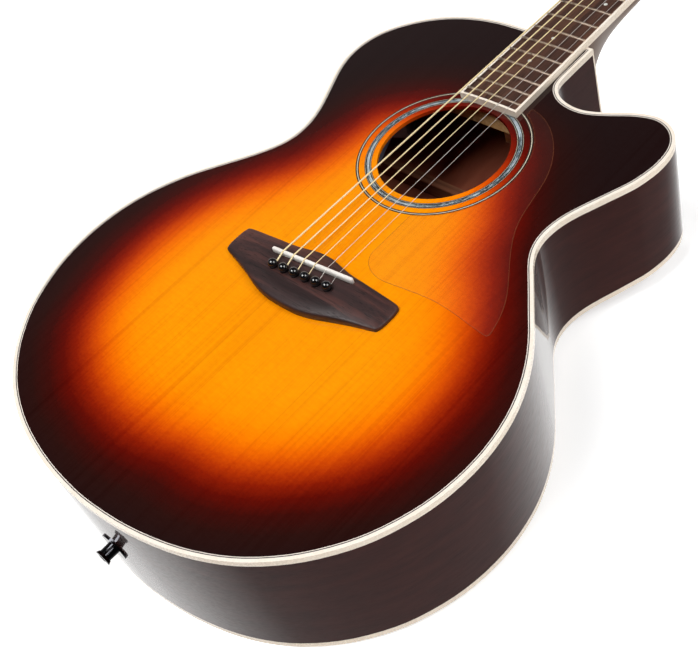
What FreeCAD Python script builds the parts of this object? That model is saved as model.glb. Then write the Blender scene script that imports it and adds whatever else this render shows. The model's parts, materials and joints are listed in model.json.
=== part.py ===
import FreeCAD, Part
import math
import os

# Acoustic guitar with a rounded cutaway, lying on its back.
# Modelling frame: +X treble side, +Y headstock, +Z out of the soundboard,
# z = 0 on the soundboard's top face, y = 0 at the saddle. Every part is
# moved by SHIFT on export, so that the row's origin is at the centre of
# the bounding box's bottom face.

os.makedirs("parts", exist_ok=True)
V = FreeCAD.Vector

# ---------------------------------------------------------------- dimensions (mm)
SCALE = 650.0            # string scale length
NUT_Y = 652.6            # front face of the nut
NUT_LEN = 5.0
FRETS = 20
NUT_W = 43.0
W20 = 56.0               # fretboard width at the last fret
FB_END = 199.4           # end of the fretboard at the soundhole
FB_TOP = 6.5             # crown of the fretboard above the soundboard
FB_R = 400.0             # fretboard radius
FB_BIND = 2.0
FRET_H = 1.1
BODY_DEPTH = 114.0       # deepest point of the back
BACK_R = 6000.0          # radius of the arched back
BACK_Y = -220.0          # where the back is deepest
TOP_T = 3.0
BACK_T = 2.8
SIDE_T = 2.3
BIND_H = 5.0
PURF_IN = 3.8            # outer edge to the inner edge of the purfling
HOLE_R = 52.0
HOLE_Y = 144.0
BODY_END = 292.2         # body edge at the neck joint
CORNER_X = 32.0          # body edge beside the neck in the cutaway
BRIDGE_H = 8.5
SADDLE_TOP = 12.2
SADDLE_TILT = 5.0        # degrees
PIN_TILT = 4.6
STRING_AT_SADDLE = 10.53
STRING_AT_NUT = 7.1
STR_R = [0.67, 0.54, 0.43, 0.32, 0.21, 0.16]
HEAD_TILT = 14.0
ROD_Z = -5.6
HEAD_T = 15.5
VENEER_T = 1.5
POST_S = [45.0, 88.0, 131.0]
POST_X = [27.0, 29.0, 31.0]
POST_R = 3.0
TEETH = 16
LEAD = 2.0
WORM_OFF = 7.4
JACK_Z = -60.0
JACK_R = 3.25
PRE_POS = V(-146.0, 165.2, -46.0)
PRE_ANG = 23.55


# ---------------------------------------------------------------- helpers
def box(x0, x1, y0, y1, z0, z1):
    return Part.makeBox(x1 - x0, y1 - y0, z1 - z0, V(x0, y0, z0))


def cyl(p, d, r, h):
    return Part.makeCylinder(r, h, V(*p), V(*d))


def tube(p, d, r1, r0, h):
    return cyl(p, d, r1, h).cut(cyl(p, d, r0, h))


def spline_wire(pts):
    c = Part.BSplineCurve()
    c.interpolate(Points=[V(*p) for p in pts], PeriodicFlag=True)
    return Part.Wire([c.toShape()])


def chaikin(pts, n):
    for _ in range(n):
        out = []
        for i, a in enumerate(pts):
            b = pts[(i + 1) % len(pts)]
            out.append(tuple(a[k] * 0.75 + b[k] * 0.25 for k in range(len(a))))
            out.append(tuple(a[k] * 0.25 + b[k] * 0.75 for k in range(len(a))))
        pts = out
    return pts


def poly_prism(pts, z0, z1):
    w = Part.makePolygon([V(p[0], p[1], z0) for p in pts] + [V(pts[0][0], pts[0][1], z0)])
    return Part.Face(w).extrude(V(0, 0, z1 - z0))


def fuse(items):
    return items[0].multiFuse(items[1:]).removeSplitter()


def cuts(s, items):
    return s.cut(list(items))


PARTS = {}


def add(name, shapes):
    if not isinstance(shapes, (list, tuple)):
        shapes = [shapes]
    sol = []
    for s in shapes:
        sol += s.Solids
    PARTS[name] = sol


def fret_y(k):
    return NUT_Y - SCALE * (1 - 2 ** (-k / 12.0))


Y20 = fret_y(FRETS)


def fb_half(y):
    return 0.5 * (NUT_W + (W20 - NUT_W) * (NUT_Y - y) / (NUT_Y - Y20))


# ---------------------------------------------------------------- body outline
# Inner edge of the purfling, from the cutaway corner clockwise to the straight top end.
TX = CORNER_X - PURF_IN
TY = BODY_END - PURF_IN
LOWER = [(200.1, -60), (198.6, -80.9), (194.4, -101.3), (187.4, -120.9), (178.2, -139.4), (166.5, -156.1),
         (153.1, -171.3), (138.2, -184.4), (122.1, -195.6), (105.0, -204.5), (87.5, -211.5), (69.8, -216.7),
         (52.2, -220.6), (34.7, -223.3), (17.3, -224.9)]
UPPER_BOUT = [(141.3, 67.2), (153.5, 51.6), (166.0, 35.8), (177.5, 19.0), (187.1, 0.8), (194.4, -18.7), (198.7, -39.1)]
BASE = [(TX, 262.0), (TX, 258.0), (TX, 253.5), (29.6, 244.2), (35.4, 235.4), (44.6, 228.8), (56.3, 225.2), (67.5, 224.6), (76.3, 226.3),
        (84.4, 229.2), (92.7, 232.7), (101.8, 237.0), (112.1, 240.5), (123.3, 242.0), (133.7, 238.9), (142.1, 232.1),
        (147.5, 222.3), (149.4, 211.0), (149.0, 200.1), (147.2, 190.5), (144.3, 180.5), (139.6, 170.0), (134.6, 159.0),
        (129.6, 148.6), (125.2, 138.6), (121.8, 128.6), (119.8, 118.0), (119.6, 108.0), (121.3, 98.6), (125.0, 89.4),
        (132.2, 78.6)]
BASE += UPPER_BOUT + LOWER + [(0.0, -225.6)]
BASE += [(-x, y) for x, y in reversed(LOWER)] + [(-x, y) for x, y in reversed(UPPER_BOUT)]
BASE += [(-133.6, 78.6), (-127.6, 90.0), (-124.4, 100.5), (-123.7, 110.5), (-124.8, 122.0), (-127.9, 133.5),
         (-132.4, 145.5), (-137.6, 156.9), (-142.7, 167.8), (-147.8, 179.0), (-152.1, 191.1), (-154.5, 204.4),
         (-154.2, 218.2), (-150.7, 231.7), (-144.1, 244.1), (-135.2, 255.0), (-124.8, 264.5), (-113.2, 272.5),
         (-100.3, 278.9), (-86.4, 283.6), (-71.6, 286.7), (-58.0, 288.1), (-45.0, TY), (-38.0, TY), (-32.0, TY)]


def make_base():
    c = Part.BSplineCurve()
    c.interpolate(Points=[V(x, y, 0) for x, y in BASE])
    fine = c.toShape().discretize(Number=2401)
    pts = fine[::15]
    nrm = []
    for i in range(0, 2401, 15):
        a = fine[max(i - 3, 0)]
        b = fine[min(i + 3, 2400)]
        d = b.sub(a)
        d.normalize()
        if i == 0:
            d = V(0, -1, 0)
        if i == 2400:
            d = V(1, 0, 0)
        nrm.append(V(-d.y, d.x, 0))
    return pts, nrm


BPTS, BNRM = make_base()
_wires = {}


def outline(d):
    """Closed wire lying d inside the body's outer edge."""
    if d not in _wires:
        a = PURF_IN - d
        pts = [p.add(V(n.x * a, n.y * a, 0)) for p, n in zip(BPTS, BNRM)]
        c = Part.BSplineCurve()
        c.interpolate(Points=pts)
        corner = V(TX + a, TY + a, 0)
        _wires[d] = Part.Wire([Part.makeLine(corner, pts[0]), c.toShape(), Part.makeLine(pts[-1], corner)])
    return _wires[d]


def prism(d, z0, z1):
    f = Part.Face(outline(d))
    f.translate(V(0, 0, z0))
    return f.extrude(V(0, 0, z1 - z0))


def ring(d0, d1, z0, z1):
    f = Part.makeFace([outline(d0), outline(d1)], "Part::FaceMakerBullseye")
    f.translate(V(0, 0, z0))
    return f.extrude(V(0, 0, z1 - z0))


def above_back(t):
    """Everything more than t above the arched back's outer face."""
    return Part.makeSphere(BACK_R, V(0, BACK_Y, -BODY_DEPTH + BACK_R + t))


def back_z(x, y):
    return -BODY_DEPTH + BACK_R - math.sqrt(BACK_R ** 2 - x ** 2 - (y - BACK_Y) ** 2)


dome0, dome_plate, dome_bind = above_back(0), above_back(BACK_T), above_back(BIND_H)

# ---------------------------------------------------------------- strings: paths
ct, st = math.cos(math.radians(HEAD_TILT)), math.sin(math.radians(HEAD_TILT))
HO = V(0, NUT_Y + NUT_LEN, 0)


def hs_pt(x, s, n):
    return V(x, HO.y + s * ct + n * st, -s * st + n * ct)


def hs(shape):
    q = shape.copy()
    q.rotate(V(0, 0, 0), V(1, 0, 0), -HEAD_TILT)
    q.translate(HO)
    return q


def path_pipe(pts, rad, r):
    """Round bar of radius r along a polyline whose corners are tangent arcs of radius rad[i]."""
    edges = []
    cur = pts[0]
    for i in range(1, len(pts) - 1):
        a = pts[i - 1].sub(pts[i])
        b = pts[i + 1].sub(pts[i])
        a.normalize()
        b.normalize()
        ang = math.acos(max(-1, min(1, a.dot(b))))
        if abs(math.pi - ang) < 2e-3:
            continue
        R = rad[i - 1]
        t = R / math.tan(ang / 2)
        p1 = pts[i].add(a * t)
        p2 = pts[i].add(b * t)
        bis = a.add(b)
        bis.normalize()
        cen = pts[i].add(bis * (R / math.sin(ang / 2)))
        m = pts[i].sub(cen)
        m.normalize()
        mid = cen.add(m * R)
        edges.append(Part.makeLine(cur, p1))
        edges.append(Part.Arc(p1, mid, p2).toShape())
        cur = p2
    edges.append(Part.makeLine(cur, pts[-1]))
    w = Part.Wire(edges)
    d = pts[1].sub(pts[0])
    prof = Part.Wire([Part.makeCircle(r, pts[0], d)])
    return w.makePipeShell([prof], True, True)


STR = []
for i in range(6):
    r = STR_R[i]
    xs = (i - 2.5) * STRING_AT_SADDLE
    xn = (i - 2.5) * STRING_AT_NUT
    xp = (i - 2.5) * 10.4 + 0.5
    yp = -13.2 + xp * math.tan(math.radians(PIN_TILT))
    ys = -0.4 + xs * math.tan(math.radians(SADDLE_TILT))
    zc = SADDLE_TOP - xs * xs / 800.0 - 1.6          # centre of the saddle's rounded crown
    zn = 8.05 - xn * xn / 800.0
    side = -1 if i < 3 else 1
    k = i if i < 3 else 5 - i
    px = side * POST_X[k]
    R1 = 1.6 + r + 0.03
    Pv = V(xp, yp + 2.3, 8.7 + r)
    Sc = V(xs, ys, zc)
    N1 = V(xn, NUT_Y, zn + r)
    # the saddle bend's corner point, so that its arc is centred on the crown
    d1 = Pv.sub(Sc)
    d1.normalize()
    d2 = N1.sub(Sc)
    d2.normalize()
    bis = V(0, -(d1.z - d2.z) * 0.5, 1)
    bis.normalize()
    beta = math.atan2(Sc.z + R1 - Pv.z, Sc.y - Pv.y)
    bis = V(0, -math.sin(beta / 2), math.cos(beta / 2))
    Sv = Sc.add(bis * (R1 / math.cos(beta / 2)))
    N2 = V(xn, NUT_Y + NUT_LEN - 0.8, zn + r - 0.03)
    top_ring = 7.4
    sh = top_ring + 2 * r + 0.32
    E = hs_pt(px - side * (POST_R + r + 0.3), POST_S[k], sh)
    pts = [V(xp, yp + 4.5, -7.7), V(xp, yp + 2.3, -1.2), Pv, Sv, N2, E]
    STR.append(dict(r=r, xs=xs, xn=xn, xp=xp, yp=yp, ys=ys, zn=zn, pts=pts, px=px, k=k, side=side, ring=top_ring,
                    rad=[2.0, 1.2 + r, R1, 6.0]))


def string_bar(q, grow=0.0):
    return path_pipe(q["pts"], q["rad"], q["r"] + grow)


bars = [string_bar(q) for q in STR]
fat = [string_bar(q, 0.06) for q in STR]
strung = []
for i, q in enumerate(STR):
    ball = cyl((q["xp"] - 1.6, q["yp"] + 4.5, -7.7), (1, 0, 0), 1.9, 3.2)
    strung.append(fuse([bars[i], ball]))
add("strings_wound", strung[:4])
add("strings_plain", strung[4:])

# ---------------------------------------------------------------- soundboard, rosette, binding
HC = (0, HOLE_Y, 0)
pin_holes = [cyl((q["xp"], q["yp"], -20), (0, 0, 1), 2.75, 40) for q in STR]
board = prism(PURF_IN, -TOP_T, 0)
board = board.cut(cyl((0, HOLE_Y, -5), (0, 0, 1), HOLE_R, 10))
channels = [(57.6, 60.7), (56.4, 57.6), (60.7, 61.9), (66.4, 69.0)]
pearl = tube((0, HOLE_Y, -1.2), (0, 0, 1), 60.7, 57.6, 1.2)
lines = [tube((0, HOLE_Y, -1.2), (0, 0, 1), b, a, 1.2) for a, b in channels[1:]]
board = cuts(board, [pearl] + lines + pin_holes + fat)
lead_hole = cyl((-34.5, -3.8, -6), (0, 0, 1), 1.5, 14)
board = board.cut(lead_hole)
add("soundboard", board)
add("rosette_pearl", pearl)
add("rosette_lines", lines)
add("top_purfling", ring(SIDE_T, PURF_IN, -TOP_T, 0))
top_bind = ring(0, SIDE_T, -BIND_H, 0)

# ---------------------------------------------------------------- preamp frame of reference
pa = math.radians(PRE_ANG)
PX, PY, PZ = V(math.sin(pa), -math.cos(pa), 0), V(0, 0, 1), V(-math.cos(pa), -math.sin(pa), 0)
PM = FreeCAD.Matrix(PX.x, PY.x, PZ.x, PRE_POS.x, PX.y, PY.y, PZ.y, PRE_POS.y, PX.z, PY.z, PZ.z, PRE_POS.z, 0, 0, 0, 1)


def pre(shape):
    q = shape.copy()
    q.Placement = FreeCAD.Placement(PM).multiply(q.Placement)
    return q


# ---------------------------------------------------------------- sides, back, linings, blocks
strip = box(CORNER_X - 1.6, CORNER_X, BODY_END - 1.6, BODY_END, -130, -BIND_H)
sides = ring(0, SIDE_T, -130, -BIND_H).common(dome_bind)
sides = cuts(sides, [box(CORNER_X - 1.6, CORNER_X + 9, BODY_END - 1.6, BODY_END + 9, -140, 0), pre(box(-35.5, 35.5, -16, 16, -30, 10)),
                     cyl((0, -260, JACK_Z), (0, 1, 0), 6.0, 80),
                     box(-11, 11, 280, 300, -74, -6)])
# bass side, treble side and the end graft that the jack goes through
graft = box(-11, 11, -260, -200, -140, 0)
add("sides", [sides.common(box(-300, 0, -300, 400, -140, 0).cut(graft)), sides.common(box(0, 300, -300, 400, -140, 0).cut(graft)), sides.common(graft)])
add("top_binding", [top_bind, strip.common(dome_bind)])
add("back_plate", prism(SIDE_T, -130, -40).common(dome0).cut(dome_plate))
add("back_binding", ring(0, SIDE_T, -130, -40).common(dome0).cut(dome_bind))
inner = prism(SIDE_T, -130, -TOP_T).common(dome_plate)
neck_block = box(-42, 60, 250, 300, -130, -TOP_T).common(inner)
tenon = box(-11, 11, 262, BODY_END, -74, -6)
neck_block = neck_block.cut(tenon)
tail_block = box(-38, 38, -240, -206, -130, -TOP_T).common(inner)
tail_block = tail_block.cut(cyl((0, -260, JACK_Z), (0, 1, 0), 6.0, 80))
lin = ring(SIDE_T, 8.3, -17, -TOP_T).fuse(ring(SIDE_T, 8.3, -130, -60).common(dome_plate).cut(above_back(16.8)))
lin = cuts(lin, [box(-42, 60, 250, 300, -130, 0), box(-38, 38, -240, -206, -130, 0),
                 pre(box(-36.5, 36.5, -17, 17, -62, 10))])
add("neck_block", neck_block)
add("tail_block", tail_block)
add("linings", lin)

# ---------------------------------------------------------------- bracing
clear_rim = prism(8.6, -130, 0)


def bar_between(p, q, w, z0, z1, ext=0):
    a, b = V(p[0], p[1], 0), V(q[0], q[1], 0)
    d = b.sub(a)
    d.normalize()
    n = V(-d.y, d.x, 0) * (w / 2.0)
    a = a.sub(d * ext)
    b = b.add(d * ext)
    return poly_prism([a.add(n), a.sub(n), b.sub(n), b.add(n)], z0, z1)


xb = fuse([bar_between((-98, 148), (168, -102), 8, -18, -TOP_T, 30), bar_between((98, 148), (-168, -102), 8, -18, -TOP_T, 30)])
add("x_brace", xb.common(clear_rim))
tb = box(-170, 170, 204, 216, -26, -TOP_T).common(clear_rim)
tone = []
for p, q in (((-62, -50), (60, -118)), ((-30, -118), (60, -168))):
    tone.append(bar_between(p, q, 7, -13, -TOP_T))
for sx in (-1, 1):
    tone.append(bar_between((sx * 84, 60), (sx * 128, 62), 6, -9, -TOP_T))
    tone.append(bar_between((sx * 110, 8), (sx * 158, -12), 6, -9, -TOP_T))
tone = [t.common(clear_rim) for t in tone]
tone[1] = tone[1].cut(tone[0])
plate = poly_prism([(-34, 14), (34, 14), (62, -36), (-62, -36)], -TOP_T - 2.6, -TOP_T).cut(xb)
plate = cuts(plate, pin_holes + fat + [lead_hole])
add("soundboard_braces", [tb] + [t.cut(xb) for t in tone] + [plate])
inside = prism(8.6, -130, -40).common(dome_plate)
bb = []
for y0, h in ((-150, 14), (-60, 15), (60, 15), (175, 14)):
    bb.append(box(-200, 200, y0 - 4, y0 + 4, -130, -40).common(inside).cut(above_back(BACK_T + h)))
add("back_braces", bb)

# ---------------------------------------------------------------- pickguard
gr = 69.7
ga = math.asin((24.0) / gr)
gb = math.asin(33.0 / gr)
G0 = V(24, HOLE_Y - gr * math.cos(ga), 0)
G1 = V(33, HOLE_Y + gr * math.cos(gb), 0)
gc = Part.BSplineCurve()
gc.interpolate(Points=[V(*p, 0) for p in ((33, 212.4), (45, 209.0), (60, 199.8), (75.6, 183.1), (87.5, 161.5), (93.6, 137.7), (99.6, 110.9),
                                         (109.5, 90.3), (125.1, 67.6), (137.1, 49.3), (143.6, 34.0), (146.3, 22.0))])
gd = Part.BSplineCurve()
gd.interpolate(Points=[V(*p, 0) for p in ((143.2, 17.6), (130, 19.4), (111, 22.2), (93.5, 23.3), (75, 22.0), (60.5, 20.3), (46.7, 19.3), (35.9, 22.0), (27.5, 28.4), (24, 37))])
gw = Part.Wire([gc.toShape(), Part.Arc(V(146.3, 22.0, 0), V(146.0, 18.4, 0), V(143.2, 17.6, 0)).toShape(), gd.toShape(),
                Part.makeLine(V(24, 37, 0), G0), Part.Arc(G0, V(gr, HOLE_Y, 0), G1).toShape(), Part.makeLine(G1, V(33, 212.4, 0))])
add("pickguard", Part.Face(gw).extrude(V(0, 0, 0.5)))

# ---------------------------------------------------------------- bridge, saddle, pickup, pins
UP = [(80, 5.2), (74, 6.9), (62, 7.5), (51, 8.1), (40, 8.7), (30, 9.4), (22, 10.8), (14, 12.6), (6, 14.2)]
LO = [(80, -17.6), (74, -19.6), (63, -22.4), (53, -25.4), (43, -28.8), (32, -32.8), (22, -35.5), (11, -37.0)]


def bridge_wire(z, dl, dx):
    pts = [(-x + dx * x / 80.0, y, z) for x, y in UP] + [(x - dx * x / 80.0, y, z) for x, y in reversed(UP)]
    pts += [(x - dx * x / 80.0, y + dl, z) for x, y in LO] + [(-x + dx * x / 80.0, y + dl, z) for x, y in reversed(LO)]
    return spline_wire(chaikin(pts, 2))


bridge = Part.makeLoft([bridge_wire(0, 0, 0), bridge_wire(BRIDGE_H, 3.4, 1.2)], True, True)
wing = [(-90, 0), (-90, 4.2), (-80, 4.4), (-68, 5.4), (-58, 6.7), (-48, 7.9), (-38, BRIDGE_H), (38, BRIDGE_H), (48, 7.9), (58, 6.7), (68, 5.4), (80, 4.4), (90, 4.2), (90, 0)]
wf = Part.Face(Part.makePolygon([V(x, -60, z) for x, z in wing] + [V(-90, -60, 0)]))
bridge = bridge.common(wf.extrude(V(0, 100, 0)))


def slanted(x0, x1, y0, y1, z0, z1):
    b = box(x0, x1, y0, y1, z0, z1)
    b.rotate(V(0, 0, 0), V(0, 0, 1), SADDLE_TILT)
    b.translate(V(0.9, -0.35, 0))
    return b


slot = slanted(-38.6, 38.6, -1.6, 1.6, 3.0, 20)
bridge = cuts(bridge, [slot, lead_hole] + pin_holes + fat)
add("bridge", bridge)
piezo = slanted(-38.6, 38.6, -1.6, 1.6, 3.0, 4.2)
sad = slanted(-38.6, 38.6, -1.6, 1.6, 4.2, SADDLE_TOP - 1.6)
crown = cyl((-38.6, 0, SADDLE_TOP - 1.6), (1, 0, 0), 1.6, 77.2)
crown.rotate(V(0, 0, 0), V(0, 0, 1), SADDLE_TILT)
crown.translate(V(0.9, -0.35, 0))
sad = fuse([sad, crown])
arc = Part.makeCylinder(400, 40, V(0, -20, SADDLE_TOP - 400), V(0, 1, 0))
ends = fuse([slanted(-37, 37, -1.6, 1.6, 0, 20)] + [cyl((0, 0, 0), (0, 0, 1), 1.6, 20)])
sad = sad.common(arc)
sad = cuts(sad, [string_bar(q, 0.03) for q in STR])
add("saddle", sad)
pins = []
for q in STR:
    x, y = q["xp"], q["yp"]
    p = Part.makeCone(2.35, 2.7, 26.5, V(x, y, -18), V(0, 0, 1))
    p = p.fuse(cyl((x, y, BRIDGE_H), (0, 0, 1), 3.3, 0.8)).fuse(Part.makeSphere(3.7, V(x, y, BRIDGE_H + 3.0)).cut(box(x - 9, x + 9, y - 9, y + 9, 0, BRIDGE_H)))
    g = q["r"] + 0.12
    p = cuts(p, [box(x - g, x + g, y + 2.3 - g, y + 9, -30, BRIDGE_H + 2.1)])
    pins.append(max(p.Solids, key=lambda s: s.Volume))
add("bridge_pins", pins)

# ---------------------------------------------------------------- fretboard
def fb_cyl(top):
    return Part.makeCylinder(FB_R, 700, V(0, 100, top - FB_R), V(0, 1, 0))


arch = fb_cyl(FB_TOP)
ho0, ho1 = fb_half(FB_END), fb_half(NUT_Y)
outer = poly_prism([(-ho0, FB_END), (ho0, FB_END), (ho1, NUT_Y), (-ho1, NUT_Y)], 0, 12)
hi0, hi1 = fb_half(FB_END + FB_BIND) - FB_BIND, fb_half(NUT_Y) - FB_BIND
core = poly_prism([(-hi0, FB_END + FB_BIND), (hi0, FB_END + FB_BIND), (hi1, NUT_Y), (-hi1, NUT_Y)], 0, 12)


def core_half(y):
    return hi0 + (hi1 - hi0) * (y - FB_END - FB_BIND) / (NUT_Y - FB_END - FB_BIND)


frets = []
for k in range(1, FRETS + 1):
    y = fret_y(k)
    e = [Part.makePolygon([V(0, y - 1.2, FB_TOP), V(0, y - 0.3, FB_TOP), V(0, y - 0.3, FB_TOP - 1.9), V(0, y + 0.3, FB_TOP - 1.9),
                           V(0, y + 0.3, FB_TOP), V(0, y + 1.2, FB_TOP)]),
         Part.Arc(V(0, y + 1.2, FB_TOP), V(0, y, FB_TOP + FRET_H), V(0, y - 1.2, FB_TOP)).toShape()]
    f = Part.Face(Part.Wire(e[0].Edges + [e[1]]))
    f.rotate(V(0, y, FB_TOP - FB_R), V(0, 1, 0), -4.6)
    f = f.revolve(V(0, y, FB_TOP - FB_R), V(0, 1, 0), 9.2)
    frets.append(f.common(core))
board = core.common(arch)
dots = []
for k in (3, 5, 7, 9, 15, 17):
    dots.append((0, 0.5 * (fret_y(k) + fret_y(k - 1))))
ym = 0.5 * (fret_y(12) + fret_y(11))
dots += [(-12.5, ym), (12.5, ym)]
ds = [cyl((x, y, 4.6), (0, 0, 1), 1.6, 6).common(arch) for x, y in dots]
board = cuts(board, frets + [cyl((x, y, 4.6), (0, 0, 1), 1.6, 6) for x, y in dots])
add("fretboard", board)
add("frets", frets)
add("position_dots", ds)
add("fretboard_binding", outer.cut(core).common(arch))
nut = box(-21.5, 21.5, NUT_Y, NUT_Y + NUT_LEN, 0, 12).common(fb_cyl(9.0))
for q in STR:
    nut = nut.cut(string_bar(q, 0.03)).cut(box(q["xn"] - q["r"] - 0.05, q["xn"] + q["r"] + 0.05, NUT_Y - 1, NUT_Y + NUT_LEN + 1, q["zn"] + q["r"], 14))
add("nut", nut)

# ---------------------------------------------------------------- neck
def neck_section(y, d, b, w=None):
    h = fb_half(min(y, NUT_Y)) if w is None else w
    pts = []
    for i in range(25):
        t = math.pi * i / 24.0
        v = math.sin(t)
        ell = math.cos(t)
        hv = (1 - 0.52 * v) * math.sqrt(max(0.0, 1 - v ** 8)) * (1 if ell >= 0 else -1)
        g = (1 - b) * ell + b * hv
        pts.append(V(h * g, y, -d * v))
    c = Part.BSplineCurve()
    c.interpolate(Points=pts)
    return Part.Wire([c.toShape(), Part.makeLine(pts[-1], pts[0])])


# the back of the heel meets the arched back of the body
SEC = [(BODY_END, 88.5, 1.0), (299, 83.0, 1.0), (304, 68.0, 0.98), (309, 54.0, 0.92), (316, 41.0, 0.8), (325, 31.0, 0.6), (336, 24.5, 0.35),
       (349, 20.8, 0.15), (366, 18.6, 0.05), (390, 17.6, 0.0), (440, 17.0, 0.0), (540, 16.2, 0.0), (620, 15.6, 0.0), (NUT_Y + NUT_LEN, 15.3, 0.0)]


def sec_at(y):
    """Depth and heel blend at y, by monotone cubic interpolation."""
    n = len(SEC)
    i = max(j for j in range(n - 1) if SEC[j][0] <= y)
    h = SEC[i + 1][0] - SEC[i][0]
    t = (y - SEC[i][0]) / h
    out = []
    for c in (1, 2):
        def slope(j):
            if j <= 0 or j >= n - 1:
                return 0.0
            a = (SEC[j][c] - SEC[j - 1][c]) / (SEC[j][0] - SEC[j - 1][0])
            b = (SEC[j + 1][c] - SEC[j][c]) / (SEC[j + 1][0] - SEC[j][0])
            return 0.0 if a * b <= 0 else 2 * a * b / (a + b)
        m0, m1 = slope(i), slope(i + 1)
        out.append((2 * t ** 3 - 3 * t ** 2 + 1) * SEC[i][c] + (t ** 3 - 2 * t ** 2 + t) * h * m0
                   + (-2 * t ** 3 + 3 * t ** 2) * SEC[i + 1][c] + (t ** 3 - t ** 2) * h * m1)
    return out


NECK_YS = [BODY_END, 297, 301, 304, 307, 310, 313, 316, 319, 322, 326, 330, 335, 341, 348, 357, 368, 382, 400, 430, 480, 540, 600, 640, NUT_Y + NUT_LEN]
shaft = Part.makeLoft([neck_section(y, *sec_at(y)) for y in NECK_YS], True, True)
HW = [(0.0, 21.5), (10, 23.4), (22, 28.2), (36, 33.6), (50, 35.4), (70, 36.0), (100, 36.8), (130, 38.2), (160, 40.0), (174, 39.4), (180, 35.0)]
hp = [(w, s) for s, w in HW] + [(18, 182.6), (0, 183.6), (-18, 182.6)] + [(-w, s) for s, w in reversed(HW)]


def head_outline(n0, n1):
    c = Part.BSplineCurve()
    c.interpolate(Points=[V(x, s, n0) for x, s in hp])
    w = Part.Wire([c.toShape(), Part.makeLine(V(hp[-1][0], hp[-1][1], n0), V(hp[0][0], hp[0][1], n0))])
    return Part.Face(w).extrude(V(0, 0, n1 - n0))


head_wood = head_outline(-HEAD_T, -VENEER_T)
veneer = head_outline(-VENEER_T, 0)
bush_holes, posts_xy = [], []
for i in range(6):
    q = STR[i]
    posts_xy.append((q["px"], POST_S[q["k"]]))
rod_slot = box(-3.1, 3.1, 268, NUT_Y + NUT_LEN + 4, -9.6, 0)
pocket = hs(box(-7.5, 7.5, -1, 26, -9, 1))
head_wood = hs(head_wood)
neck = shaft.fuse(head_wood).fuse(box(-11, 11, 262, BODY_END, -74, -6))
holes = [hs(cyl((x, s, -HEAD_T - 1), (0, 0, 1), 4.4, HEAD_T + 3)) for x, s in posts_xy]
neck = cuts(neck, [box(-3.1, 3.1, BODY_END, NUT_Y + NUT_LEN + 30, -9.6, 20), pocket, cyl((0, NUT_Y - 30, ROD_Z), (0, 1, 0), 4.3, 62)] + holes)
neck = neck.cut(box(-60, 60, NUT_Y + NUT_LEN + 0.0, NUT_Y + 40, 0, 30))
add("neck", max(neck.Solids, key=lambda s: s.Volume))
veneer = hs(veneer).cut(pocket)
veneer = cuts(veneer, holes)
veneer = veneer.cut(box(-60, 60, NUT_Y - 10, NUT_Y + NUT_LEN, -20, 30))
add("headstock_veneer", veneer)
rod = box(-3.1, 3.1, BODY_END + 4, NUT_Y - 32, -9.6, -1.2)
rod = rod.fuse(cyl((0, NUT_Y - 32, ROD_Z), (0, 1, 0), 2.5, 42))
add("truss_rod", rod)
hexw = Part.makePolygon([V(3.6 * math.cos(math.pi / 3 * i), 0, 3.6 * math.sin(math.pi / 3 * i)) for i in range(7)])
tn = Part.Face(hexw).extrude(V(0, 8, 0))
tn.translate(V(0, NUT_Y + NUT_LEN - 3.0, ROD_Z))
tn = tn.cut(cyl((0, NUT_Y, ROD_Z), (0, 1, 0), 2.56, 30))
add("truss_rod_nut", tn)
cov = [(-8, 1.5), (8, 1.5), (11.5, 10), (11.0, 20), (6.5, 29), (0, 34), (-6.5, 29), (-11.0, 20), (-11.5, 10)]
add("truss_rod_cover", hs(poly_prism(cov, 0, 1.8)))

# ---------------------------------------------------------------- tuners
def worm_local():
    """Worm blank along +Z: a core with collars at the thread's pitch."""
    c = [Part.makeCylinder(1.5, 12.0, V(0, 0, -6.0))]
    for k in range(5):
        c.append(Part.makeCylinder(1.95, 1.0, V(0, 0, (k - 2) * LEAD - 0.5)))
    return fuse(c)


worm = worm_local()
RP = TEETH * LEAD / (2 * math.pi)          # pitch radius of the worm wheel


def wheel_local():
    w = Part.makeCylinder(4.3, 3.0, V(0, 0, -1.5))
    for k in range(TEETH):
        pts = [(4.1, -0.55), (5.3, -0.3), (5.3, 0.3), (4.1, 0.55)]
        t = poly_prism(pts, -1.5, 1.5)
        t.rotate(V(0, 0, 0), V(0, 0, 1), 90 + 360.0 * k / TEETH)
        w = w.fuse(t)
    return w.removeSplitter()


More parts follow.
